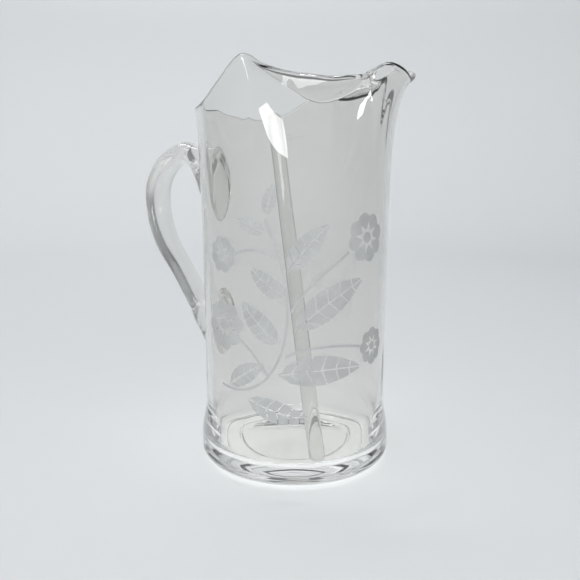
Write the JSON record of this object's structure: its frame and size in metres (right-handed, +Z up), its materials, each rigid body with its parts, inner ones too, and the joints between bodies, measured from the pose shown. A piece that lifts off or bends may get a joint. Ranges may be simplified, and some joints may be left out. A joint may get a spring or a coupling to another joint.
{
  "type": "glass pitcher with stirring rod",
  "caption": "Clear blown glass water pitcher with a wavy rim folded in on both sides of its spout to hold back ice, and an applied strap handle, holding a loose glass stirring rod.",
  "frame": {"origin": "centre of the foot, on the plane the pitcher stands on", "axes": "+Z up along the vessel's axis, +X towards the pouring lip, so the handle is on -X"},
  "size_m": [0.1513, 0.1087, 0.1992],
  "materials": {
    "vessel_glass": "fire-polished clear, with satin frosted decoration on the wall",
    "handle_glass": "fire-polished clear",
    "rod_glass": "fire-polished clear"
  },
  "bodies": {
    "pitcher": {"vessel": "vessel_glass", "handle": "handle_glass"},
    "stirrer": {"stirring_rod": "rod_glass"}
  },
  "joints": [
    {"name": "rod_lift", "type": "slide", "parent": "pitcher", "child": "stirrer", "axis": [-0.2877, 0.331, 0.8987], "range_m": [0, 0.205]}
  ]
}
